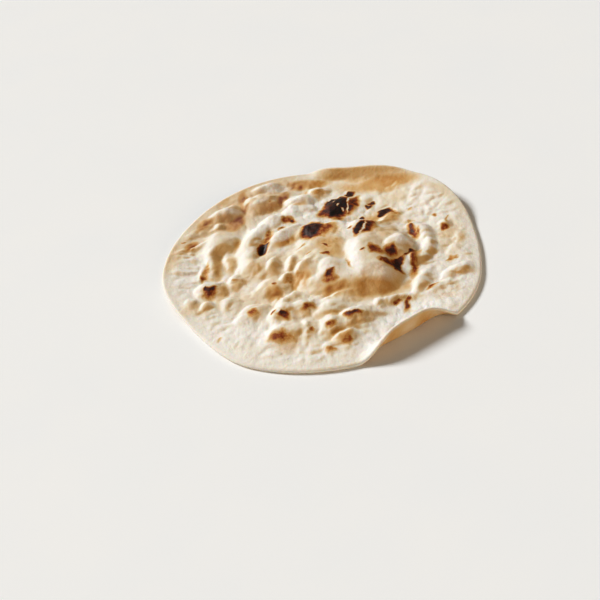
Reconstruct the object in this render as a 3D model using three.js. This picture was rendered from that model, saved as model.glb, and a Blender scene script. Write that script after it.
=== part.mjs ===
// A tandoori roti: one thin round of dough that the oven has blown up into puffs and blisters.
// Its rim lifts and turns up in places, and the rest of its underside lies on z = 0.
// Millimetres, +Z up. Bearings are degrees from +X, counter-clockwise seen from above.

import * as THREE from 'three';
import { mergeVertices } from 'three/addons/utils/BufferGeometryUtils.js';

// Driving dimensions

const RADIUS = 100; // the round as it was patted out
const THICKNESS = 2.6; // the plain sheet between blisters
const RIM_FADE = 9; // width of the band inside the rim where blisters die away

// How far the edge stands out (or falls in) around a bearing, with the reach of each side
const OUTLINE = [
  { at: -152, before: 34, after: 32, out: -6 },
  { at: -33, before: 20, after: 20, out: 1.5 },
  { at: -5, before: 20, after: 20, out: -1 },
  { at: 32, before: 32, after: 40, out: 4 },
  { at: 118, before: 55, after: 75, out: -1 },
];

// Where a broad stretch of the sheet lifts off the table, from a radius out to the rim
const RIM_LIFTS = [
  { at: 38, before: 32, after: 40, from: 60, height: 7.5 },
  { at: 118, before: 50, after: 75, from: 50, height: 5 },
  { at: 180, before: 40, after: 34, from: 74, height: 3 },
];

// Where the rim turns up: the length of sheet turned up, the part of it that bends, and its turn
const RIM_CURLS = [
  { at: -60, before: 25, after: 17, length: 15.5, bent: 9, turn: 88 },
  { at: 73, before: 29, after: 16, length: 12, bent: 5, turn: 48 },
];

// How squarely a bulge, a lift or a curl keeps its size before it falls away to its ends
const BULGE_FULLNESS = 2;
const LIFT_FULLNESS = 2;
const CURL_FULLNESS = 3;

const ROUND = 2; // the flatness of a round top

// Features of the upper face. Each has its middle; a puff, blister or dent has a half length,
// a half width and the bearing of its length, and a ridge is an arc from one bearing to another.
const puff = (x, y, long, wide, turn, height, flatness) => ({ x, y, long, wide, turn, height, flatness });
const blister = (x, y, long, wide, turn, height) => puff(x, y, long, wide, turn, height, ROUND);
const dent = (x, y, long, wide, turn, depth) => puff(x, y, long, wide, turn, depth, ROUND);
const ridge = (x, y, radius, start, end, wide, height) => ({
  x,
  y,
  radius,
  start,
  end,
  wide,
  height,
  flatness: ROUND,
});

// Broad puffs with flat tops, then bubbles that rise evenly on all sides
const PUFFS = [
  puff(-14, 17, 44, 43, 20, 5, 4),
  puff(20, -4, 43, 41, 8, 8, 6),
  puff(-4, -52, 52, 28, -5, 1.6, 3),
  puff(-26, 86, 13, 8, 5, 3.8, 2),
  puff(-31, 70, 16, 11, 20, 4.8, 2.2),
  puff(-7, 67, 12, 8, 5, 3.8, 2.2),
  puff(-55, 63, 13, 9, 0, 4.4, 2),
  puff(-61, 32, 17.5, 16, 15, 5.6, 2.2),
];

// Rounded blisters, steeper at the back
const BLISTERS = [
  // behind the middle, left of the upturned rim
  blister(-61, 50, 7.5, 6, 90, 2.2),
  blister(8, 73, 10, 8.5, 0, 3),
  blister(-83, 44, 7.5, 6, 0, 1.5),
  // left, with the tail of the large bubble first
  blister(-67, 12, 17, 6.5, 85, 3),
  blister(-69, -15, 12, 11, 90, 4),
  blister(-53, -10, 10, 8.5, 60, 2.8),
  blister(-83, -25, 8.5, 7.5, 40, 2),
  blister(-72, -29, 7.5, 6, 30, 2),
  blister(-57, -29, 8.5, 7.5, 90, 2),
  // on top of the raised middle, left
  blister(-40, 24, 10, 9, 70, 4),
  blister(-27, 46, 11, 9, 45, 3.6),
  blister(-12, 55, 11, 9, 5, 3.8),
  blister(-19, 24, 18.5, 8.5, 38, 4),
  blister(-2, 25, 12, 11, 0, 3.5),
  blister(-42, -1, 14.5, 10, 5, 2.8),
  blister(-28, -3, 9, 5, 85, 3.2),
  blister(-18, -5, 9, 4.5, 80, 3.2),
  blister(5, -19, 10, 10, 0, 2.8),
  blister(-33, -24, 16, 11, 0, 2.5),
  blister(-20, -36, 14.5, 7.5, 30, 2.2),
  // on top of the raised middle, right, with the tallest first
  blister(30, -14, 28, 16, 95, 4.5),
  blister(19, 50, 18, 14, 60, 3),
  blister(14, 28, 12, 9, 30, 2.2),
  blister(31, 20, 14.5, 11, 60, 3),
  blister(50, 31, 15, 9, 45, 2.2),
  blister(51, -2, 17, 9.5, 45, 3),
  blister(58.5, -38, 18.5, 6.5, 65, 3),
  blister(40, -50, 17, 6, 5, 2.5),
  // in front of the middle
  blister(15, -63, 18, 12.5, 10, 4.2),
  blister(-1, -66, 14, 9, 85, 3.2),
  blister(7, -79, 11, 9.5, 30, 2.8),
  blister(-14, -67, 12.5, 8, 85, 2.8),
  blister(-29, -68, 16.5, 14, 0, 3.6),
  blister(-27, -50, 13.5, 12, 60, 3.8),
  blister(-13, -47, 13, 10, 10, 3.2),
  blister(3, -50, 16, 8.5, 20, 3),
  blister(8, -44, 17, 7, 5, 2.2),
  blister(-44, -43, 12, 10, 20, 3),
  blister(-51, -49, 11, 8.5, 30, 2),
  blister(-3, -84, 8, 6, 80, 1.8),
  // right
  blister(81, -34, 14.5, 8.5, 15, 2.6),
  blister(82, 13, 7.5, 6, 70, 2),
  blister(69, -46, 17, 7.5, 25, 1.5),
];

// Blisters that have run together into curved ridges
const RIDGES = [
  ridge(5, 8, 49.5, 100, 186, 8.5, 3),
  ridge(49, 4, 21, -65, 48, 5.5, 3),
];

// Sunken places
const DENTS = [
  dent(47, -20, 12, 6, -65, 3),
  dent(-34, 15, 7, 4, 80, 2.4),
];

const CROWD = 2.5; // where blisters meet, a higher power lets the taller one win more
const CREST_SHIFT = 0.4; // a blister's crest stands off its middle by this share of its half width
const CREST_BEARING = 110;
const FOOT = 1.7; // how softly a puff or blister rises from the sheet

// The mesh: ring n has SPOKES times n points, and the last rings walk round the edge
const SPOKES = 6;
const RINGS = 30;
const EDGE_RINGS = 2;
const HALF = THICKNESS / 2;
const NEXT_TO_NOTHING = 1e-9;

// The turn in degrees from one bearing to another, at most half a turn either way
function turnBetween(from, to) {
  return THREE.MathUtils.euclideanModulo(to - from + 180, 360) - 180;
}

// 1 at a feature's bearing, falling smoothly to 0 at the two ends of its stretch
function hump(bearing, { at, before, after }, fullness) {
  const away = turnBetween(at, bearing);
  const share = Math.abs(away) / (away < 0 ? before : after);
  return Math.max(0, 1 - share ** fullness) ** 2;
}

// How far a point is from a feature's middle, as a share of the way to its edge
function overEllipse(x, y, feature) {
  const angle = THREE.MathUtils.degToRad(feature.turn);
  const east = x - feature.x;
  const north = y - feature.y;
  const along = east * Math.cos(angle) + north * Math.sin(angle);
  const across = north * Math.cos(angle) - east * Math.sin(angle);
  return Math.hypot(along / feature.long, across / feature.wide);
}

// The same, with the crest off the middle and the edge in place
function overLeaning(x, y, feature) {
  const inside = Math.max(0, 1 - overEllipse(x, y, feature) ** 2);
  const shift = CREST_SHIFT * feature.wide * inside;
  const angle = THREE.MathUtils.degToRad(CREST_BEARING);
  return overEllipse(x - shift * Math.cos(angle), y - shift * Math.sin(angle), feature);
}

// How far a point is from a ridge's arc, as a share of its half width
function overArc(x, y, { x: middleX, y: middleY, radius, start, end, wide }) {
  const bearing = THREE.MathUtils.radToDeg(Math.atan2(y - middleY, x - middleX));
  const past = Math.abs(turnBetween((start + end) / 2, bearing)) - (end - start) / 2;
  const beyond = THREE.MathUtils.degToRad(Math.max(0, past)) * radius;
  return Math.hypot(Math.hypot(x - middleX, y - middleY) - radius, beyond) / wide;
}

// The heights of features over a point, by the way its distance from each is told
function heights(x, y, features, over) {
  return features.map((feature) => {
    const share = Math.max(0, 1 - over(x, y, feature) ** feature.flatness);
    return feature.height * share ** FOOT;
  });
}

// Heights together, where the taller one wins
function crowd(list) {
  return list.reduce((sum, height) => sum + height ** CROWD, 0) ** (1 / CROWD);
}

// How far the upper face stands over the plain sheet at a point of the flat round
function relief(x, y) {
  const puffs = heights(x, y, PUFFS, overEllipse);
  const blisters = heights(x, y, BLISTERS, overLeaning);
  const ridges = heights(x, y, RIDGES, overArc);
  const dents = heights(x, y, DENTS, overEllipse);
  return Math.max(0, crowd(puffs) + crowd([...blisters, ...ridges]) - crowd(dents));
}

function rimRadius(bearing) {
  const out = OUTLINE.map((bulge) => bulge.out * hump(bearing, bulge, BULGE_FULLNESS));
  return out.reduce((radius, step) => radius + step, RADIUS);
}

// The middle of the sheet at a bearing and a flat radius, and how far the sheet leans there
function sheetAt(bearing, flat) {
  const rim = rimRadius(bearing);
  let radius = flat;
  let rise = HALF;
  let lean = 0;
  for (const lift of RIM_LIFTS) {
    const share = Math.max(0, (flat - lift.from) / (rim - lift.from));
    rise += lift.height * hump(bearing, lift, LIFT_FULLNESS) * share * share;
  }
  for (const curl of RIM_CURLS) {
    const turn = THREE.MathUtils.degToRad(curl.turn) * hump(bearing, curl, CURL_FULLNESS);
    const bend = Math.max(NEXT_TO_NOTHING, turn / curl.bent);
    const run = Math.max(0, flat - rim + curl.length);
    const arc = Math.min(run, curl.bent);
    radius += Math.sin(bend * arc) / bend + (run - arc) * Math.cos(bend * arc) - run;
    rise += (1 - Math.cos(bend * arc)) / bend + (run - arc) * Math.sin(bend * arc);
    lean += bend * arc;
  }
  return { radius, rise, lean };
}

// A point of the surface, for a ring and a bearing on the upper (1) or under (-1) face
function surfacePoint(ring, bearing, side) {
  const plainRings = RINGS - EDGE_RINGS;
  const inner = rimRadius(bearing) - HALF;
  const edgeTurn = (Math.max(0, ring - plainRings) / EDGE_RINGS) * (Math.PI / 2);
  const flat = inner * Math.min(1, ring / plainRings) + HALF * Math.sin(edgeTurn);
  const angle = THREE.MathUtils.degToRad(bearing);
  let offset = side * HALF * Math.cos(edgeTurn);
  if (side > 0) {
    const fade = THREE.MathUtils.smoothstep(inner - flat, 0, RIM_FADE);
    offset += fade * relief(flat * Math.cos(angle), flat * Math.sin(angle));
  }
  const { radius, rise, lean } = sheetAt(bearing, flat);
  const out = radius - offset * Math.sin(lean);
  return new THREE.Vector3(out * Math.cos(angle), out * Math.sin(angle), rise + offset * Math.cos(lean));
}

// Two low pyramids base to base, whose faces are split into rings of even triangles
function ringedSolid() {
  const corners = [0, 0, 1, 0, 0, -1];
  const faces = [];
  for (let spoke = 0; spoke < SPOKES; spoke++) {
    const angle = (spoke / SPOKES) * 2 * Math.PI;
    corners.push(Math.cos(angle), Math.sin(angle), 0);
    const here = 2 + spoke;
    const next = 2 + ((spoke + 1) % SPOKES);
    faces.push(0, here, next, 1, next, here);
  }
  const geometry = new THREE.PolyhedronGeometry(corners, faces, 1, RINGS - 1);
  geometry.deleteAttribute('normal');
  geometry.deleteAttribute('uv');
  return mergeVertices(geometry);
}

// The ring and bearing of a point of that solid, from its weights on the two nearest spokes
function ringAndBearing(point) {
  const step = (2 * Math.PI) / SPOKES;
  const angle = THREE.MathUtils.euclideanModulo(Math.atan2(point.y, point.x), 2 * Math.PI);
  const spoke = Math.floor(angle / step) * step;
  const reach = Math.hypot(point.x, point.y) / Math.sin(step);
  const first = reach * Math.sin(spoke + step - angle);
  const second = reach * Math.sin(angle - spoke);
  const flat = first + second;
  if (flat < NEXT_TO_NOTHING) {
    return { ring: 0, bearing: 0 };
  }
  const ring = Math.round((RINGS * flat) / (flat + Math.abs(point.z)));
  return { ring, bearing: THREE.MathUtils.radToDeg(spoke + (step * second) / flat) };
}

function rotiGeometry() {
  const geometry = ringedSolid();
  const positions = geometry.getAttribute('position');
  const point = new THREE.Vector3();
  for (let i = 0; i < positions.count; i++) {
    point.fromBufferAttribute(positions, i);
    const { ring, bearing } = ringAndBearing(point);
    const placed = surfacePoint(ring, bearing, point.z < 0 ? -1 : 1);
    positions.setXYZ(i, placed.x, placed.y, placed.z);
  }
  // the origin is under the middle of the box
  geometry.computeBoundingBox();
  const middle = geometry.boundingBox.getCenter(new THREE.Vector3());
  geometry.translate(-middle.x, -middle.y, -geometry.boundingBox.min.z);
  geometry.computeVertexNormals();
  return geometry;
}

const bakedDough = new THREE.MeshStandardMaterial({ color: '#e6d9c2', roughness: 0.85, metalness: 0 });

const roti = new THREE.Mesh(rotiGeometry(), bakedDough);
roti.name = 'roti';

const part = new THREE.Group();
part.add(roti);

export default part;
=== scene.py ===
"""A tandoori roti as it lies on a pale table, lit softly from the back left."""

import math

import bmesh
import bpy
import numpy as np
from mathutils import Matrix, Vector, noise


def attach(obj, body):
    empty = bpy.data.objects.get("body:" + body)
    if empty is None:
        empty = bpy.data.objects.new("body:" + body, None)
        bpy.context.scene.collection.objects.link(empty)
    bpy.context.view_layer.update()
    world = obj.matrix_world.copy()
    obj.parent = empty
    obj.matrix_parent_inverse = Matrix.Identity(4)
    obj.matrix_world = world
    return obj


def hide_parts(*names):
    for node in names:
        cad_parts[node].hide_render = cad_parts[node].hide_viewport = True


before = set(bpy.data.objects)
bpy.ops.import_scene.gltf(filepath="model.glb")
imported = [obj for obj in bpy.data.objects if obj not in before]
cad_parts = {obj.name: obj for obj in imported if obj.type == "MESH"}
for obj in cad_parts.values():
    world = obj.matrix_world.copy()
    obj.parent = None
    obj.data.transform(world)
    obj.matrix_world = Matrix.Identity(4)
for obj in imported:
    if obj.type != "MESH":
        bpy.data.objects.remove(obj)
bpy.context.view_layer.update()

MM = 0.001  # sizes below are millimetres, and Blender works in metres

# Sizes of the roti. The broad forms and the wider blisters are those of the solid part, and smaller
# ones are added to them. Bearings are degrees from +X, counter-clockwise.

RADIUS = 100  # the round as it was patted out
THICKNESS = 2.6  # the plain sheet between blisters
HALF = THICKNESS / 2
RIM_FADE = 9  # width of the band inside the rim where blisters die away

# How far the edge stands out around a bearing: bearing, reach before it, reach after it, out
OUTLINE = [
    (-152, 34, 32, -6),
    (-33, 20, 20, 1.5),
    (-5, 20, 20, -1),
    (32, 32, 40, 4),
    (118, 55, 75, -1),
]

# Where a broad stretch lifts off the table: bearing and reaches, radius it starts at, height
RIM_LIFTS = [
    (38, 32, 40, 60, 7.5),
    (118, 50, 75, 50, 5),
    (180, 40, 34, 74, 3),
]

# Where the rim turns up: bearing and reaches, length of sheet turned up, length that bends, turn
RIM_CURLS = [
    (-60, 25, 17, 15.5, 9, 88),
    (73, 29, 16, 12, 5, 48),
]
LEAST_BEND = 1e-9  # stands for no bend, so that nothing is divided by zero

# Broad puffs: x, y, half length, half width, bearing of the length, height, flatness of the top
PUFFS = [
    (-14, 17, 44, 43, 20, 5, 4),
    (20, -4, 43, 41, 8, 8, 6),
    (-4, -52, 52, 28, -5, 1.6, 3),
    (-26, 86, 13, 8, 5, 3.8, 2),
    (-31, 70, 16, 11, 20, 4.8, 2.2),
    (-7, 67, 12, 8, 5, 3.8, 2.2),
    (-55, 63, 13, 9, 0, 4.4, 2),
    (-61, 32, 17.5, 16, 15, 5.6, 2.2),
]

# Rounded blisters: x, y, half length, half width, bearing of the length, height
BLISTERS = [
    # behind the middle, left of the upturned rim
    (-61, 50, 7.5, 6, 90, 2.2),
    (8, 73, 10, 8.5, 0, 3),
    (-83, 44, 7.5, 6, 0, 1.5),
    (-88, 31, 8.5, 3.5, 10, 1.4),
    (-76, 33, 7.5, 3.5, 40, 1.5),
    # left, with the tail of the large bubble first
    (-67, 12, 17, 6.5, 85, 3),
    (-56, 11, 13, 5, 85, 2),
    (-74, 8, 14.5, 3.5, 80, 1.2),
    (-69, -15, 12, 11, 90, 4),
    (-53, -10, 10, 8.5, 60, 2.8),
    (-83, -25, 8.5, 7.5, 40, 2),
    (-72, -29, 7.5, 6, 30, 2),
    (-57, -29, 8.5, 7.5, 90, 2),
    # on top of the raised middle, left
    (-40, 24, 10, 9, 70, 4),
    (-27, 46, 11, 9, 45, 3.6),
    (-12, 55, 11, 9, 5, 3.8),
    (-19, 24, 18.5, 8.5, 38, 4),
    (-2, 25, 12, 11, 0, 3.5),
    (-42, -1, 14.5, 10, 5, 2.8),
    (-28, -3, 9, 5, 85, 3.2),
    (-18, -5, 9, 4.5, 80, 3.2),
    (-10, -12, 7, 5.5, 60, 2.6),
    (-22, -16, 7, 5, 40, 2.4),
    (5, -19, 10, 10, 0, 2.8),
    (-33, -24, 16, 11, 0, 2.5),
    (-20, -36, 14.5, 7.5, 30, 2.2),
    # on top of the raised middle, right
    (30, -14, 28, 16, 95, 4.5),
    (19, 50, 18, 14, 60, 3),
    (14, 28, 12, 9, 30, 2.2),
    (31, 20, 14.5, 11, 60, 3),
    (50, 31, 15, 9, 45, 2.2),
    (51, -2, 17, 9.5, 45, 3),
    (58.5, -38, 18.5, 6.5, 65, 3),
    (40, -50, 17, 6, 5, 2.5),
    (29, -52, 8.5, 5, 90, 2),
    # in front of the middle
    (15, -63, 18, 12.5, 10, 4.2),
    (-1, -66, 14, 9, 85, 3.2),
    (7, -79, 11, 9.5, 30, 2.8),
    (-14, -67, 12.5, 8, 85, 2.8),
    (-29, -68, 16.5, 14, 0, 3.6),
    (-27, -50, 13.5, 12, 60, 3.8),
    (-13, -47, 13, 10, 10, 3.2),
    (3, -50, 16, 8.5, 20, 3),
    (8, -44, 17, 7, 5, 2.2),
    (-44, -43, 12, 10, 20, 3),
    (-51, -49, 11, 8.5, 30, 2),
    (-3, -84, 8, 6, 80, 1.8),
    # right
    (81, -34, 14.5, 8.5, 15, 2.6),
    (82, 13, 7.5, 6, 70, 2),
    (69, -46, 17, 7.5, 25, 1.5),
    (90, 2, 10, 5, 75, 1),
]

# Blisters that have run together into curved ridges:
# middle of the curve x and y, its radius, its two ends as bearings, half width, height
RIDGES = [
    (5, 8, 49.5, 100, 186, 8.5, 3),
    (49, 4, 21, -65, 48, 5.5, 3),
]

# Sunken places, as the blisters with a depth for the height
DENTS = [
    (47, -20, 12, 6, -65, 3),
    (60, 9, 10, 4, 100, 0.7),
    (-34, 15, 7, 4, 80, 2.4),
]
CROWD = 2.5  # where blisters meet, a higher power lets the taller one win more
CREST_SHIFT = 0.4  # crests stand off the middle by this share of the half width
CREST_BEARING = 110
BLISTER_FLATNESS = 2
FOOT = 1.7  # how softly a puff or blister rises from the sheet

# How far outlines wander from plain ellipses: distance between turns, reach, seed of the noise
RELIEF_WANDER = [(14, 2.5, 1), (6, 0.8, 2)]
TOAST_AND_SHADE_WANDER = [(14, 4, 8)]
MARK_WANDER = [(5, 2.2, 5), (2, 0.8, 6)]

# Small uneven swellings between the blisters: size, height, seed of the noise
BILLOWS = [(16, 1.2, 3), (8, 1.0, 4), (4.5, 0.65, 5)]

# Where the skin is stretched and these are low: x, y, half length, half width, bearing of the length
TAUT = [
    (29, -18, 31, 31, 0),
    (-60, 32, 19, 17, 15),
    (42, 84, 46, 18, -16),
]
TAUT_SHARE = 0.7  # of their height is gone there
TAUT_EDGE = (0.7, 1.1)  # shares of the way out between which the stretching fades

# Puckered skin: x, y, half length, half width, bearing of the puckers, their length, spacing, height
PUCKERS = [
    (-90, 18, 18, 26, 174, 14, 4.5, 1.6),
    (-29, -78, 10, 8, 170, 9, 3.5, 0.7),
    (84, -16, 10, 10, 40, 12, 6, 0.9),
    (72, 42, 25, 14, -60, 5, 4, 1.0),
]
PUCKER_EDGE = (0.5, 1)  # shares of the way out between which the puckers fade
PUCKER_SEED = 7

# The next four lists give places as the eye would see them on a level sheet this high
SEEN_LEVEL = 2
SIGHT_STEPS = 16  # in which these are carried along the line of sight to the upper face

# Where whole stretches are browned by toasting, and where painted shade lies in valleys, beside and
# below domes and on the upturned rim:
# x, y, half length, half width, bearing of the length, heat from 0 to 1
TOASTED_AND_SHADED = [
    # broad
    (-44, 76, 66, 25, 38, 0.24),
    (-28, -4, 55, 36, 60, 0.18),
    # behind, from left to right, mostly painted shade between and below the domes
    (-90, 38, 32, 8, 66, 0.2),
    (-80, 40, 6, 5, 0, 0.5),
    (-69, 62, 13, 5, 52, 0.42),
    (-56, 65, 9, 5, 0, 0.3),
    (-50, 57, 10, 6, 60, 0.5),
    (-44, 80, 16, 5, 80, 0.52),
    (-56, 87, 9, 5, 38, 0.3),
    (-42, 93, 8, 5, 30, 0.28),
    (-27, 67, 14, 6, 15, 0.31),
    (-17, 77, 14, 5, 75, 0.44),
    (-5, 91, 14, 6, 0, 0.44),
    (-8, 70, 8, 5, 0, 0.34),
    (9, 88, 12, 6, 0, 0.42),
    (1, 80, 8, 5, 30, 0.3),
    # along the upturned rim, toasting and painted shade where it faces away from the light
    (39, 91, 38, 9, -20, 0.31),
    (24, 94, 17, 6, -12, 0.3),
    (56, 77, 24, 8, -18, 0.46),
    (45, 74, 32, 11, -14, 0.36),
    (58, 58, 17, 12, 10, 0.17),
    # left, with painted shade on and beside the large bubble
    (-55, 36, 13, 12, 20, 0.15),
    (-64, 15, 20, 6, 86, 0.28),
    (-55, 12, 12, 6, 90, 0.28),
    (-50, 30, 15, 5, 88, 0.44),
    (-52, -10, 7, 5, 60, 0.28),
    (-62, -18, 16, 5, 75, 0.26),
    (-80, -26, 12, 9, 0, 0.2),
    # middle, with painted shade below the tallest bubble
    (-42, 3, 10, 6, 0, 0.23),
    (-29, 2, 8, 5, 85, 0.2),
    (-17, 2, 9, 5, 85, 0.26),
    (-13, -14, 9, 8, 0, 0.52),
    (-30, -26, 11, 8, 90, 0.42),
    (-18, 28, 14, 6, 30, 0.34),
    (3, 34, 15, 11, 0, 0.42),
    (-8, 12, 12, 9, 0, 0.2),
    (8, 14, 14, 11, 90, 0.34),
    (17, 4, 10, 4, -70, 0.3),
    (43, 35, 16, 11, 20, 0.36),
    (45, 22, 14, 8, 60, 0.24),
    (29, -34, 28, 11, -4, 0.33),
    (6, -30, 12, 7, -10, 0.4),
    (49, -37, 9, 5, 65, 0.32),
    (20, -42, 10, 4, 5, 0.22),
    (40, 10, 34, 30, 40, 0.16),
    # in front
    (-5, -55, 50, 24, 0, 0.12),
    (0, -50, 13, 5, 10, 0.32),
    (4, -71, 10, 9, 0, 0.38),
    (-24, -68, 8, 6, 90, 0.27),
    (-29, -75, 10, 6, 0, 0.26),
    (-50, -70, 14, 8, -40, 0.14),
    # right
    (77, -45, 7, 3, 70, 0.18),
    (68, -52, 9, 2.5, 10, 0.26),
    (55, 2, 8, 5, -45, 0.22),
    (84, 12, 13, 8, 70, 0.22),
    (89, 1, 9, 5, 75, 0.22),
    (82, -5, 10, 12, 0, 0.16),
    (86, 60, 16, 6, -58, 0.16),
]
TOAST_AND_SHADE_EDGE = (0.3, 1.3)  # shares of the way out between which a stretch fades

# Where flour still lies on the dough, and where painted light whitens lit flanks, crests and flats, in
# the same way with how thick it lies from 0 to 1
FLOUR_AND_LIGHT = [
    (77, 40, 34, 15, -62, 0.45),
    (-40, 78, 62, 24, 38, 0.08),
    (-34, 80, 10, 4, 20, 0.6),
    (-50, -64, 38, 22, -40, 0.55),
    (22, 2, 20, 6, 92, 1.0),
    (33, -14, 14, 9, -15, 0.4),
    (-72, 28, 12, 4, 75, 0.8),
    (-44, -15, 8, 7, 0, 0.5),
    (-22, 95, 13, 5, 5, 0.8),
    (50, -60, 36, 10, 20, 0.8),
    (-9, 74, 10, 5, 5, 1.0),
    (-56, 75, 11, 4, 0, 0.6),
    (-27, 52, 17, 6, 48, 0.8),
    (-9, 59, 14, 5, 0, 0.9),
    (5, -8, 6, 5, 0, 0.8),
    (53, 13, 8, 6, 0, 0.9),
    (3, 65, 7, 6, 0, 0.8),
    (-22, 18, 9, 5, 30, 0.6),
    (-20, 39, 12, 4, 38, 0.8),
    (35, -76, 20, 6, 15, 0.7),
    (-26, -90, 24, 7, -10, 0.5),
    (84, -40, 11, 8, 30, 0.7),
    (-84, 6, 16, 9, 80, 0.6),
]
FLOUR_AND_LIGHT_EDGE = (0.3, 1.1)  # shares of the way out between which the flour and painted light fade

# Scorch marks, in the way of the stretches of toasting and painted shade
MARKS = [
    # the burnt patch at the back and its neighbours
    (12, 56, 9, 8, 60, 0.78),
    (19, 58, 14, 7, 70, 1.0),
    (25, 53, 6, 5, 60, 0.8),
    (17, 65, 8, 6, 30, 1.0),
    (29, 60, 9, 4.5, 70, 0.72),
    (28, 70, 4, 3, 45, 0.9),
    (0, 38, 12, 8, 80, 0.88),
    (8, 35, 10, 7, 80, 0.6),
    (30, 31, 8.5, 3.6, 65, 0.95),
    (35.5, 31.5, 9, 5, 65, 0.78),
    (31, 37, 4, 3, 40, 0.95),
    (41.6, 55, 2.8, 2.2, 50, 0.9),
    (38, 51.5, 2.6, 1.8, 50, 0.85),
    (48, 41, 6, 5, 20, 0.9),
    (54, 39, 5, 3, -40, 0.4),
    (23.6, 33, 2, 1.8, 0, 0.7),
    (-33.8, 21.8, 7, 3.8, 75, 0.95),
    (-30.5, 36, 10, 3.6, 72, 0.58),
    (-15.5, 52, 5.5, 4.5, -60, 0.6),
    (-12.5, 50, 3, 2, -60, 0.8),
    (-21, 44, 2.4, 1.6, 30, 0.6),
    # round the tallest bubble
    (61, 17, 9, 3, 100, 0.72),
    (62, 27, 3, 2, 90, 0.42),
    (65, 18, 3, 1.2, 80, 0.6),
    (82.4, 17, 4, 3, 60, 0.62),
    (84.6, 24, 4.5, 1.6, 75, 0.5),
    (36, 5.5, 7, 4.5, 105, 0.68),
    (45, 2, 6, 4.8, 70, 0.74),
    (41, 0, 5, 3, -20, 0.5),
    (28.4, 7, 1.8, 1.6, 0, 0.7),
    (44, -6, 7, 3, -15, 0.36),
    (41, -10, 7, 3.4, -25, 0.68),
    (49, -12, 5, 4, 0, 0.9),
    (46, -13, 6, 4, 0, 0.85),
    (46, -17, 7, 4, -85, 0.95),
    (56.5, -16, 14, 3.5, 75, 0.64),
    (56, -4.5, 6, 2, 35, 0.85),
    (17, -5, 6, 1.2, -70, 0.45),
    (6.6, 17, 5, 1.5, -45, 0.66),
    (4.4, 9, 4.5, 1.4, -30, 0.64),
    (13, 21, 3, 1.6, -60, 0.4),
    (-11, 20, 2.5, 1.6, 0, 0.45),
    (-7, 13, 3, 1.6, 30, 0.4),
    (4.6, -11.5, 4.4, 3.6, 40, 0.76),
    (4.4, -16.5, 6.5, 5, -80, 0.58),
    # left
    (-70.5, -6.5, 4.4, 3.2, 20, 0.8),
    (-70, -12, 6, 5, -80, 0.64),
    (-73.5, 3, 5, 2.2, 80, 0.58),
    (-72, 11, 8, 2, 80, 0.44),
    (-54, -4, 2, 1.6, 0, 0.42),
    (-31, -12.8, 2.2, 2, 0, 0.65),
    (-13, -9, 6, 4, -30, 0.46),
    (-20, -13, 6, 4, 0, 0.42),
    # in front
    (-45.5, -38, 5, 4.2, 0, 0.56),
    (-27, -43, 5.5, 4, -55, 0.76),
    (-33.6, -41, 2.0, 1.6, 60, 0.75),
    (-13, -41, 6, 4.4, 10, 0.58),
    (-30, -63, 9, 6.5, -25, 0.58),
    (-12.5, -61.5, 3, 3, 0, 0.56),
    (-0.4, -59, 3.6, 4, 0, 0.6),
    (13.6, -53, 6, 2.8, 12, 0.78),
    (7, -75, 5, 5, 0, 0.58),
    (-4, -81.6, 3, 3, 0, 0.46),
    (40.4, -51, 3, 2, 0, 0.66),
    (45, -56, 6, 3, 85, 0.68),
    (47, -50, 3, 2, 0, 0.68),
    # right
    (62.5, -41, 4.5, 2.4, 30, 0.58),
    (65, 42, 2.4, 1.8, 70, 0.38),
    (80, -17, 5, 2.4, 30, 0.5),
    (81, -31.5, 7, 2, 5, 0.36),
    # single specks nearer the rim
    (8, 78, 4.5, 4, 0, 0.45),
    (-67.6, -58, 1.8, 1.6, 0, 0.3),
    (-85.6, 46, 2.4, 1.6, 0, 0.55),
    (-26, 79.6, 1.4, 1.1, 0, 0.55),
    (77.6, 31, 1.4, 1.2, 0, 0.5),
]
MARK_SHIFT = 0.45  # a mark moves towards the fire by this share of its half width
MARK_SPREAD = 1.5  # it fades to nothing this many times as far out as its row says
MARK_CORE = 0.14  # share of the way out to which it is evenly dark
SHARP_HEAT = 0.6  # a mark hotter than this has a harder edge: for each unit of heat over it,
CORE_GROWTH = 0.6  # the core reaches farther out by this share,
EDGE_SHRINK = 0.2  # and the edge comes in by this share

# Where burnt skin has flaked off and the pale dough shows, and pale painted glints on the burnt patch:
# x, y, half length, half width, bearing
FLAKES_AND_GLINTS = [
    (32, 30, 9, 1.0, 65),
    (52.5, -14, 9, 2.8, 68),
    (25, 71, 3, 1.6, 50),
    (-30.5, -39.5, 2.6, 1.3, 60),
    (24.4, 55, 6, 0.7, 75),
    (26, 65, 4, 0.8, 70),
    (16, 64, 2.4, 0.8, 40),
    (20, 59, 3, 0.8, 60),
    (21, 52, 2.6, 0.8, 80),
    (13, 66, 1.6, 0.8, 20),
]
FLAKE_AND_GLINT_EDGE = (0.5, 1.1)  # shares of the way out between which the baked colour comes back

# How the sides of the blisters are coloured: some toasting, painted shade on sides away from the light,
# and a painted highlight on sides towards it. A lean is the level part of a face's normal.
PLAIN_HEAT = 0.04  # of the plain upper face
SHADE_AND_FIRE_BEARING = -80  # the side away from the light, whose steep sides get painted shade, and where marks spread as to the fire
SLOPE_SHADE_AND_HEAT = 0.22  # painted shade, with some toasting, on steep sides facing that way, over the plain heat
STEEP = 0.5  # the lean that gets it in full
LIT_SIDE_BEARING = 145  # the side towards the light, which is painted paler as a painted highlight
LIT_SIDE_LEAN = (0.06, 0.4)  # where a side that faces there starts to be paler, and is palest
LIT_SIDE_SHARE = 0.85  # of the toasting is gone there
LEVEL_SHARE = 0.9  # of the toasting shows on level faces
SHADE_SIDE_SHARE = 0.42  # more of it shows, as painted shade, on sides that face away from the light
SHADE_SIDE_LEAN = 0.35  # the lean that gets this in full

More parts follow.
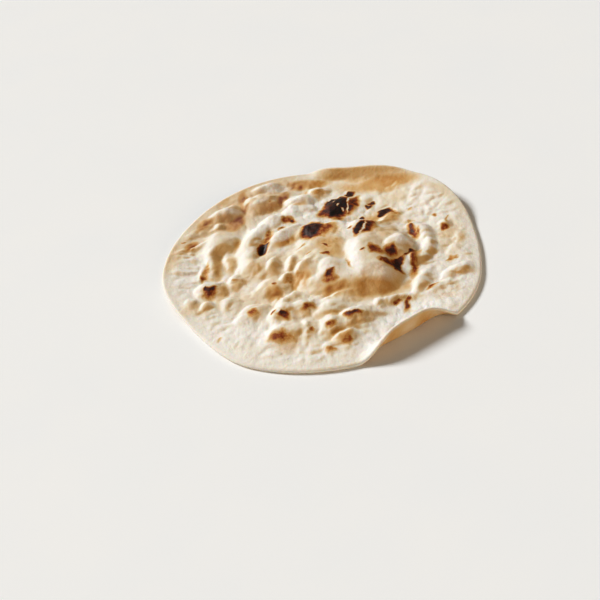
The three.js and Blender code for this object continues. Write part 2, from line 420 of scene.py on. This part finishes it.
# The underside
UNDER_HEAT = 0.23  # over the plain heat
UNDER_MOTTLE = 16  # size of its darker and lighter places
UNDER_UNEVEN = 0.9  # how far these go from its heat
UNDER_SCORCH = 0.62  # heat of its few scorched places
UNDER_SPOTS = (0.35, 0.6)  # noise where such a place starts, and where it is full
UNDER_RIM = 25  # width of the band inside the rim where these places die away
UNDER_SEED = 9

NOISE_SEED = 4  # a different one gives other small unevennesses

# The mesh
CELLS = 214  # squares along each side of the grid that becomes the round
EDGE_CUTS = 3  # cuts in the rounded edge between the two faces
SORTING = (1, 1000, 1000000)  # puts points in order by level, then by row, then along the row

# Where the camera stands
FRAME_PIXELS = 600  # side of the picture that MIDDLE_PIXEL counts in
FIELD_DEG = 28
ELEVATION_DEG = 38.6
ROLL_DEG = 9.5
DISTANCE = 752  # from the round's middle
MIDDLE_PIXEL = (320.9, 265.0)  # where the round's middle shows
SENSOR_WIDTH = 36

# The table and the light
TABLE_SIZE = 60000  # from its middle to its edge, so far off that no edge shows
TABLE_DROP = 0.2  # below the underside, so that the two faces don't share a level
TABLE_CLOUD = 60  # size of the faint clouds in its paint
TABLE_COLOURS = ("#F5F9FF", "#FAFCFF")
TABLE_ROUGHNESS = 0.8

# Far soft lights: bearing, elevation, how many degrees wide each looks from the roti, strength, colour
LIGHTS = {
    "key": (148, 35, 18, 3.8, "#FFFEFA"),
    "fill": (-50, 17, 37, 1.12, "#FFE4BE"),
}
AIR_COLOUR = "#F5EAD8"
AIR_STRENGTH = 0.11


# Form


def hump(bearing, at, before, after, power=2):
    """1 at a feature's bearing, falling smoothly to 0 at the two ends of its stretch."""
    away = (bearing - at + 180) % 360 - 180
    share = np.abs(away / np.where(away < 0, before, after))
    return np.clip(1 - share**power, 0, None) ** 2


def ellipse(x, y, row):
    """How far points are from a feature's middle, as a share of the way to its edge."""
    middle_x, middle_y, long, wide, turn = row[:5]
    angle = math.radians(turn)
    along = (x - middle_x) * math.cos(angle) + (y - middle_y) * math.sin(angle)
    across = (y - middle_y) * math.cos(angle) - (x - middle_x) * math.sin(angle)
    return np.hypot(along / long, across / wide)


def leaning(x, y, row):
    """As ellipse, with the crest off the middle and the edge in place."""
    shift = CREST_SHIFT * row[3] * np.clip(1 - ellipse(x, y, row) ** 2, 0, None)
    angle = math.radians(CREST_BEARING)
    return ellipse(x - shift * math.cos(angle), y - shift * math.sin(angle), row)


def curve(x, y, row):
    """How far points are from a curved ridge, as a share of its half width."""
    middle_x, middle_y, radius, start, end, wide = row[:6]
    bearing = np.degrees(np.arctan2(y - middle_y, x - middle_x))
    away = np.abs((bearing - (start + end) / 2 + 180) % 360 - 180)
    beyond = np.radians(np.clip(away - (end - start) / 2, 0, None)) * radius
    return np.hypot(np.hypot(x - middle_x, y - middle_y) - radius, beyond) / wide


def crowd(domes):
    """Domes together, each as distance, height and flatness, where the taller one wins."""
    total = 0
    for away, height, flatness in domes:
        total = total + (height * np.clip(1 - away**flatness, 0, None) ** FOOT) ** CROWD
    return total ** (1 / CROWD)


def max_of(values):
    """The greatest of several values, point by point."""
    return np.max(list(values), axis=0)


def rim_radius(bearing):
    """How far out the sheet's edge lies, before any of it turns up."""
    return RADIUS + sum(out * hump(bearing, *stretch) for *stretch, out in OUTLINE)


def sheet_at(bearing, flat):
    """The middle of the sheet: its radius and height, and how far it leans."""
    rim = rim_radius(bearing)
    radius = flat.copy()
    rise = np.full_like(flat, HALF)
    lean = np.zeros_like(flat)
    for *stretch, start, height in RIM_LIFTS:
        share = np.clip((flat - start) / (rim - start), 0, None)
        rise += height * hump(bearing, *stretch) * share**2
    for *stretch, length, bent, turn in RIM_CURLS:
        bend = math.radians(turn) * hump(bearing, *stretch, power=3) / bent
        bend = np.maximum(bend, LEAST_BEND)
        run = np.clip(flat - rim + length, 0, None)
        arc = np.minimum(run, bent)
        radius += np.sin(bend * arc) / bend + (run - arc) * np.cos(bend * arc) - run
        rise += (1 - np.cos(bend * arc)) / bend + (run - arc) * np.sin(bend * arc)
        lean += bend * arc
    return radius, rise, lean


def swirl(x, y, size, seed):
    """Smooth noise at points, three values each, with features about size apart."""
    return np.array([noise.noise_vector((px / size, py / size, seed)) for px, py in zip(x, y)]).T


def wander(x, y, moves):
    """The points moved about smoothly, so that no outline stays a plain ellipse."""
    for size, reach, seed in moves:
        across, along, _ = swirl(x, y, size, seed)
        x, y = x + reach * across, y + reach * along
    return x, y


def relief(x, y):
    """Height of the upper face over the plain sheet."""
    wx, wy = wander(x, y, RELIEF_WANDER)
    total = crowd((ellipse(wx, wy, row), *row[5:]) for row in PUFFS)
    blisters = [(leaning(wx, wy, row), row[5], BLISTER_FLATNESS) for row in BLISTERS]
    blisters += [(curve(wx, wy, row), row[6], BLISTER_FLATNESS) for row in RIDGES]
    total = total + crowd(blisters)
    taut = max_of(1 - smooth(*TAUT_EDGE, ellipse(wx, wy, row)) for row in TAUT)
    for size, height, seed in BILLOWS:
        total = total + height * (1 - TAUT_SHARE * taut) * np.abs(swirl(wx, wy, size, seed)[2])
    for *place, length, spacing, height in PUCKERS:
        angle = math.radians(place[4])
        along = wx * math.cos(angle) + wy * math.sin(angle)
        across = wy * math.cos(angle) - wx * math.sin(angle)
        pucker = np.abs(swirl(along / length, across / spacing, 1, PUCKER_SEED)[2])
        total = total + height * pucker * (1 - smooth(*PUCKER_EDGE, ellipse(wx, wy, place)))
    dents = crowd((ellipse(wx, wy, row), row[5], BLISTER_FLATNESS) for row in DENTS)
    return np.maximum(total - dents, 0)


def smooth(low, high, value):
    """A soft step, from 0 at the first value to 1 at the second."""
    share = np.clip((value - low) / (high - low), 0, 1)
    return share * share * (3 - 2 * share)


def eye_axes():
    """The camera's right, up and back directions."""
    e, roll = math.radians(ELEVATION_DEG), math.radians(ROLL_DEG)
    back = Vector((0, -math.cos(e), math.sin(e)))
    level = Vector((1, 0, 0))
    upright = back.cross(level)
    right = level * math.cos(roll) - upright * math.sin(roll)
    up = upright * math.cos(roll) + level * math.sin(roll)
    return right, up, back


def eye_place():
    """Where the camera stands, from the round's middle, so that this shows at its pixel."""
    right, up, back = eye_axes()
    size_of_pixel = DISTANCE * math.tan(math.radians(FIELD_DEG / 2)) / (FRAME_PIXELS / 2)
    across = (MIDDLE_PIXEL[0] - FRAME_PIXELS / 2) * size_of_pixel
    down = (MIDDLE_PIXEL[1] - FRAME_PIXELS / 2) * size_of_pixel
    return back * DISTANCE - right * across + up * down


def round_of_dough():
    """A square grid with a second one under it and a wall between, for the round to be shaped from."""
    bm = bmesh.new()
    bmesh.ops.create_grid(bm, x_segments=CELLS, y_segments=CELLS, size=1)
    upper = bmesh.ops.extrude_face_region(bm, geom=bm.faces[:])["geom"]
    upper = [part for part in upper if isinstance(part, bmesh.types.BMVert)]
    bmesh.ops.translate(bm, verts=bm.verts[:], vec=(0, 0, -1))
    bmesh.ops.translate(bm, verts=upper, vec=(0, 0, 2))
    wall = [e for e in bm.edges if abs(e.verts[0].co.z - e.verts[1].co.z) > 1]
    bmesh.ops.subdivide_edges(bm, edges=wall, cuts=EDGE_CUTS, use_grid_fill=True)
    bmesh.ops.recalc_face_normals(bm, faces=bm.faces[:])
    # the operators leave the wall's points and faces in another order each run
    bm.verts.sort(key=lambda point: point.co.dot(SORTING))
    bm.faces.sort(key=lambda face: face.calc_center_median().dot(SORTING))
    mesh = bpy.data.meshes.new("roti")
    bm.to_mesh(mesh)
    bm.free()
    mesh.shade_smooth()
    return mesh


def share_and_bearing(a, b):
    """Where a point of the square lands on the round: share of the radius, and bearing."""
    wide = np.abs(a) >= np.abs(b)
    big = np.where(wide, a, b)
    small = np.where(wide, b, a)
    turn = 45 * small / np.where(big == 0, 1, big)
    bearing = np.where(wide, turn, 90 - turn) + np.where(big < 0, 180, 0)
    return np.abs(big), bearing


def shape(mesh):
    """Moves the grid's points to the roti's faces, and keeps what the finish needs to know."""
    points = np.empty(len(mesh.vertices) * 3)
    mesh.vertices.foreach_get("co", points)
    # side is 1 on the upper face, -1 on the lower one, and between these along the edge
    a, b, side = points.reshape(-1, 3).T
    on_top = np.isclose(side, 1)
    share, bearing = share_and_bearing(a, b)
    inner = rim_radius(bearing) - HALF
    flat = inner * share + HALF * np.cos(side * math.pi / 2)
    angle = np.radians(bearing)
    x, y = flat * np.cos(angle), flat * np.sin(angle)
    over = np.where(on_top, smooth(0, RIM_FADE, inner - flat) * relief(x, y), 0)
    offset = HALF * np.sin(side * math.pi / 2) + over
    radius, rise, lean = sheet_at(bearing, flat)
    out = radius - offset * np.sin(lean)
    placed = np.stack(
        [out * np.cos(angle), out * np.sin(angle), rise + offset * np.cos(lean)], axis=-1
    )
    low, high = placed.min(axis=0), placed.max(axis=0)
    middle = np.array([(low[0] + high[0]) / 2, (low[1] + high[1]) / 2, low[2]])
    mesh.vertices.foreach_set("co", ((placed - middle) * MM).ravel())
    mesh.update()
    # browning with painted shade, scorching, and flour with painted light
    toast_and_shade, scorched, floury_and_lit = bake_and_shade(mesh, x, y, eye_place())
    under = smooth(0, -1, side)
    mottle, spots, _ = swirl(x, y, UNDER_MOTTLE, UNDER_SEED)
    under_heat = under * UNDER_HEAT * (1 + UNDER_UNEVEN * mottle)
    spots = smooth(*UNDER_SPOTS, spots) * smooth(0, UNDER_RIM, inner - flat)
    under_scorch = under * UNDER_SCORCH * spots
    # the browning carries painted shade, and the flour painted light
    keep(mesh, "toast_and_shade", np.where(on_top, toast_and_shade, PLAIN_HEAT + under_heat))
    keep(mesh, "scorched", np.where(on_top, scorched, under_scorch))
    keep(mesh, "floury_and_lit", np.where(on_top, floury_and_lit, 0))
    return middle


def keep(mesh, name, values):
    """Stores a value for each point, for the finish to read."""
    mesh.attributes.new(name, "FLOAT", "POINT").data.foreach_set("value", values)


def face_height(x, y):
    """Height of the upper face over the table, away from the curls."""
    lift = sheet_at(np.degrees(np.arctan2(y, x)), np.hypot(x, y))[1]
    return lift + HALF + relief(x, y)


def under_sight(seen, eye):
    """Where the eye's line to each place on SEEN_LEVEL meets the upper face."""
    x, y = seen[:, 0], seen[:, 1]
    for _ in range(SIGHT_STEPS):
        # each step goes half of the way, so that it settles
        share = (face_height(x, y) - SEEN_LEVEL) / (eye[2] - SEEN_LEVEL)
        x = (x + seen[:, 0] + share * (eye[0] - seen[:, 0])) / 2
        y = (y + seen[:, 1] + share * (eye[1] - seen[:, 1])) / 2
    return x, y


def bake_and_shade(mesh, x, y, eye):
    """How far each point is browned and scorched, 0.3 tan, 0.6 brown and 1 burnt, and how much flour
    lies on it. The browning holds painted shade, and the flour painted light.
    """
    normals = np.empty(len(mesh.vertices) * 3)
    mesh.vertices.foreach_get("normal", normals)
    shade_side, pale = math.radians(SHADE_AND_FIRE_BEARING), math.radians(LIT_SIDE_BEARING)
    ahead, aside = math.cos(shade_side), math.sin(shade_side)
    shade_facing = normals.reshape(-1, 3) @ (ahead, aside, 0)
    # turned is how far a face leans towards the light
    turned = normals.reshape(-1, 3) @ (math.cos(pale), math.sin(pale), 0)
    # painted shade, partly toasting: steep sides away from the light are tan
    toast_and_shade = PLAIN_HEAT + SLOPE_SHADE_AND_HEAT * smooth(0, STEEP, shade_facing)
    wx, wy = wander(x, y, TOAST_AND_SHADE_WANDER)
    # stretches of toasting, and of painted shade in valleys and beside domes
    for row in dropped(TOASTED_AND_SHADED, eye):
        toast_and_shade = np.maximum(toast_and_shade, row[5] * (1 - smooth(*TOAST_AND_SHADE_EDGE, ellipse(wx, wy, row))))
    # painted highlight: sides that face the light lose their toasting
    toast_and_shade = toast_and_shade * (1 - LIT_SIDE_SHARE * smooth(*LIT_SIDE_LEAN, turned))
    # painted shade: sides that face away from the light are darker
    toast_and_shade = toast_and_shade * (LEVEL_SHARE + SHADE_SIDE_SHARE * smooth(0, SHADE_SIDE_LEAN, -turned))
    floury_and_lit = np.zeros_like(x)
    # flour, and painted light that whitens lit flanks, crests and flats
    for row in dropped(FLOUR_AND_LIGHT, eye):
        floury_and_lit = np.maximum(floury_and_lit, row[5] * (1 - smooth(*FLOUR_AND_LIGHT_EDGE, ellipse(wx, wy, row))))
    wx, wy = wander(x, y, MARK_WANDER)
    scorched = np.zeros_like(x)
    for row in dropped(MARKS, eye):
        # a mark is darkest on its crest and fades farther on the side of the fire
        row[:2] += MARK_SHIFT * row[3] * np.array((ahead, aside))
        row[2:4] *= MARK_SPREAD
        hotter = max(row[5] - SHARP_HEAT, 0)
        core = MARK_CORE + CORE_GROWTH * hotter
        edge = 1 - EDGE_SHRINK * hotter
        scorched = np.maximum(scorched, row[5] * (1 - smooth(core, edge, leaning(wx, wy, row))))
    # flaked skin, and painted glints on the burnt patch, in pale dough colour
    for row in dropped(FLAKES_AND_GLINTS, eye):
        kept = smooth(*FLAKE_AND_GLINT_EDGE, ellipse(wx, wy, row))
        toast_and_shade, scorched = toast_and_shade * kept, scorched * kept
    return toast_and_shade, scorched, floury_and_lit


def dropped(rows, eye):
    """Rows whose places are as seen, moved to where they lie on the upper face."""
    rows = np.array(rows, dtype=float)
    rows[:, 0], rows[:, 1] = under_sight(rows[:, :2], eye)
    return rows


# Materials


def linear(code):
    """A colour from its sRGB hex code."""
    shares = [int(code[i : i + 2], 16) / 255 for i in (1, 3, 5)]
    return [s / 12.92 if s <= 0.04045 else ((s + 0.055) / 1.055) ** 2.4 for s in shares] + [1]


def node(tree, kind, inputs=None, **settings):
    """Adds a shader node with its settings; an input is a value or another node's output."""
    made = tree.nodes.new(kind)
    for name, value in settings.items():
        setattr(made, name, value)
    for name, value in (inputs or {}).items():
        if isinstance(value, bpy.types.NodeSocket):
            tree.links.new(value, made.inputs[name])
        else:
            made.inputs[name].default_value = value
    return made


def new_material(name):
    """An empty material and its tree of nodes."""
    material = bpy.data.materials.new(name)
    material.use_nodes = True
    material.node_tree.nodes.clear()
    return material, material.node_tree


# Sockets of a Mix node for colours, by number because others have the same names
MIX_FIRST = 6
MIX_SECOND = 7
MIX_RESULT = 2

# How the dough's colour goes as it bakes: heat and colour
BAKING = [
    (0.00, "#F0EDE8"),
    (0.12, "#E8DBC4"),
    (0.22, "#DFC39B"),
    (0.32, "#D3A96E"),
    (0.44, "#BF843F"),
    (0.58, "#8E3D0C"),
    (0.75, "#441B12"),
    (1.00, "#16100E"),
]
# the white of flour, also used as painted light on lit places
FLOUR_AND_LIGHT_COLOUR = "#F8F5F0"
FLOUR_AND_LIGHT_STOPS = (0.05, 0.3)  # heat of a scorch mark at which flour and painted light thin, and at which none is left

# Freckles and ragged edges: size of a freckle, detail of the noise, least and greatest share
FRECKLES = {
    "toast_and_shade": (7, 3, 0.9, 1.1),
    "scorched": (2.5, 4, 0.78, 1.2),
    "floury_and_lit": (2.5, 3, 0.6, 1.4),
}
GRAIN_ROUGHNESS = 0.6
GRAIN_RANGE = (0.3, 0.7)  # most of the noise lies between these

# The floury grain of the skin: size, detail of the noise, strength, depth.
# Flour is too fine to show in the render, so its grain is drawn this coarse.
SKIN = [
    (3, 2, 0.7, 0.8),
    (1, 3, 0.6, 0.3),
]

# Burnt skin has a sheen: the shader's input, its value on dough and on burnt skin
SHEEN = {
    "Roughness": (0.7, 0.48),
    "Specular IOR Level": (0.22, 0.35),
}
SHEEN_HEAT = (0.6, 0.9)  # where the sheen starts, and where it is full

# Light that goes into the dough and comes out near by
GLOW = 0.3  # share of the light that does so
GLOW_REACH = 1.5
GLOW_COLOURS = (1.0, 0.45, 0.2)  # how far its red, green and blue go, as shares of the reach


def baked_dough():
    """Wheat dough slapped on an oven's clay wall and baked there.

    To the eye it is dry and matt, with a fine grain of flour, cream where the heat was least, tan and
    brown where it toasted, and nearly black with a faint sheen where its skin is burnt. Its colour
    also holds painted shade on sides and in hollows away from the light, and painted light on lit
    flanks and crests.
    """
    material, tree = new_material("baked wheat dough")
    place = node(tree, "ShaderNodeTexCoord").outputs["Object"]
    even = {}
    freckled = {}
    for name, (size, detail, least, most) in FRECKLES.items():
        even[name] = node(tree, "ShaderNodeAttribute", attribute_name=name).outputs["Fac"]
        grain = {"Vector": place, "Scale": 1 / (size * MM), "Detail": detail}
        grain = node(tree, "ShaderNodeTexNoise", {**grain, "Roughness": GRAIN_ROUGHNESS})
        spread = {"Value": grain.outputs["Fac"], "From Min": GRAIN_RANGE[0], "From Max": GRAIN_RANGE[1]}
        spread = node(tree, "ShaderNodeMapRange", {**spread, "To Min": least, "To Max": most})
        both = {0: even[name], 1: spread.outputs["Result"]}
        freckled[name] = node(tree, "ShaderNodeMath", both, operation="MULTIPLY").outputs[0]

    # the colour of the baked dough, with its painted shade
    both = {0: freckled["toast_and_shade"], 1: freckled["scorched"]}
    baked = node(tree, "ShaderNodeMath", both, operation="MAXIMUM").outputs[0]
    ramp = node(tree, "ShaderNodeValToRGB", {"Fac": baked})
    stops = ramp.color_ramp.elements
    stops.remove(stops[1])
    for heat, code in BAKING[1:]:
        stops.new(heat).color = linear(code)
    stops[0].color = linear(BAKING[0][1])

    # flour that lies on it, and painted light on lit places, and not on the scorched places
    clear = {"Value": even["scorched"], "From Min": FLOUR_AND_LIGHT_STOPS[0], "From Max": FLOUR_AND_LIGHT_STOPS[1]}
    clear = node(tree, "ShaderNodeMapRange", {**clear, "To Min": 1, "To Max": 0})
    both = {0: freckled["floury_and_lit"], 1: clear.outputs["Result"]}
    lies = node(tree, "ShaderNodeMath", both, operation="MULTIPLY", use_clamp=True).outputs[0]
    both = {"Factor": lies, MIX_FIRST: ramp.outputs["Color"], MIX_SECOND: linear(FLOUR_AND_LIGHT_COLOUR)}
    colour = node(tree, "ShaderNodeMix", both, data_type="RGBA").outputs[MIX_RESULT]

    surface = {
        "Base Color": colour,
        "Subsurface Weight": GLOW,
        "Subsurface Radius": GLOW_COLOURS,
        "Subsurface Scale": GLOW_REACH * MM,
    }
    for name, (dough, burnt) in SHEEN.items():
        change = {"Value": even["scorched"], "From Min": SHEEN_HEAT[0], "From Max": SHEEN_HEAT[1]}
        change = node(tree, "ShaderNodeMapRange", {**change, "To Min": dough, "To Max": burnt})
        surface[name] = change.outputs["Result"]
    normal = {}
    for size, detail, strength, depth in SKIN:
        grain = {"Vector": place, "Scale": 1 / (size * MM), "Detail": detail}
        grain = node(tree, "ShaderNodeTexNoise", {**grain, "Roughness": GRAIN_ROUGHNESS})
        bump = {"Height": grain.outputs["Fac"], "Strength": strength, "Distance": depth * MM}
        bump = node(tree, "ShaderNodeBump", {**bump, **normal})
        normal = {"Normal": bump.outputs["Normal"]}
    shader = node(tree, "ShaderNodeBsdfPrincipled", {**surface, **normal})
    node(tree, "ShaderNodeOutputMaterial", {"Surface": shader.outputs["BSDF"]})
    return material


def pale_table():
    """Painted board with a matt coat, which shows as nearly white with faint clouds."""
    material, tree = new_material("pale matt board")
    place = node(tree, "ShaderNodeTexCoord").outputs["Object"]
    cloud = node(tree, "ShaderNodeTexNoise", {"Vector": place, "Scale": 1 / (TABLE_CLOUD * MM)})
    first, second = TABLE_COLOURS
    both = {"Factor": cloud.outputs["Fac"], MIX_FIRST: linear(first), MIX_SECOND: linear(second)}
    colour = node(tree, "ShaderNodeMix", both, data_type="RGBA").outputs[MIX_RESULT]
    surface = {"Base Color": colour, "Roughness": TABLE_ROUGHNESS}
    shader = node(tree, "ShaderNodeBsdfPrincipled", surface)
    node(tree, "ShaderNodeOutputMaterial", {"Surface": shader.outputs["BSDF"]})
    return material


# Pieces


def put_in_scene(name, mesh, material):
    """A piece from its mesh, with its finish, at the origin."""
    mesh.materials.append(material)
    piece = bpy.data.objects.new(name, mesh)
    bpy.context.scene.collection.objects.link(piece)
    return piece


def make_table():
    """A level board under the roti, which isn't part of it."""
    bm = bmesh.new()
    bmesh.ops.create_grid(bm, x_segments=1, y_segments=1, size=TABLE_SIZE * MM)
    bmesh.ops.translate(bm, verts=bm.verts[:], vec=(0, 0, -TABLE_DROP * MM))
    mesh = bpy.data.meshes.new("table")
    bm.to_mesh(mesh)
    bm.free()
    put_in_scene("table", mesh, pale_table())


def make_light(name, bearing, elevation, width, strength, colour):
    """A far soft light, which shines on the roti from a bearing and an elevation."""
    light = bpy.data.lights.new(name, "SUN")
    light.angle = math.radians(width)
    light.energy = strength
    light.color = linear(colour)[:3]
    lamp = bpy.data.objects.new(name, light)
    a, e = math.radians(bearing), math.radians(elevation)
    away = Vector((math.cos(a) * math.cos(e), math.sin(a) * math.cos(e), math.sin(e)))
    lamp.rotation_euler = away.to_track_quat("Z", "Y").to_euler()
    bpy.context.scene.collection.objects.link(lamp)


def make_light_and_air():
    """The lights, and the faint light that comes from all round."""
    for name, values in LIGHTS.items():
        make_light(name, *values)
    world = bpy.data.worlds.new("air")
    world.use_nodes = True
    background = world.node_tree.nodes["Background"]
    background.inputs["Color"].default_value = linear(AIR_COLOUR)
    background.inputs["Strength"].default_value = AIR_STRENGTH
    bpy.context.scene.world = world
    bpy.context.scene.view_settings.view_transform = "Standard"


def make_camera(middle):
    """Looks down on the roti, turned a little, with the round's middle at its pixel."""
    right, up, back = eye_axes()
    data = bpy.data.cameras.new("camera")
    data.sensor_width = SENSOR_WIDTH
    data.lens = data.sensor_width / 2 / math.tan(math.radians(FIELD_DEG / 2))
    camera = bpy.data.objects.new("camera", data)
    place = Matrix.Translation((eye_place() - Vector(middle)) * MM)
    camera.matrix_world = place @ Matrix((right, up, back)).transposed().to_4x4()
    bpy.context.scene.collection.objects.link(camera)
    bpy.context.scene.camera = camera


noise.seed_set(NOISE_SEED)
mesh = round_of_dough()
middle = shape(mesh)
roti = put_in_scene("roti_baked", mesh, baked_dough())
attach(roti, "root")
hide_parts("roti")
make_table()
make_light_and_air()
make_camera(middle)
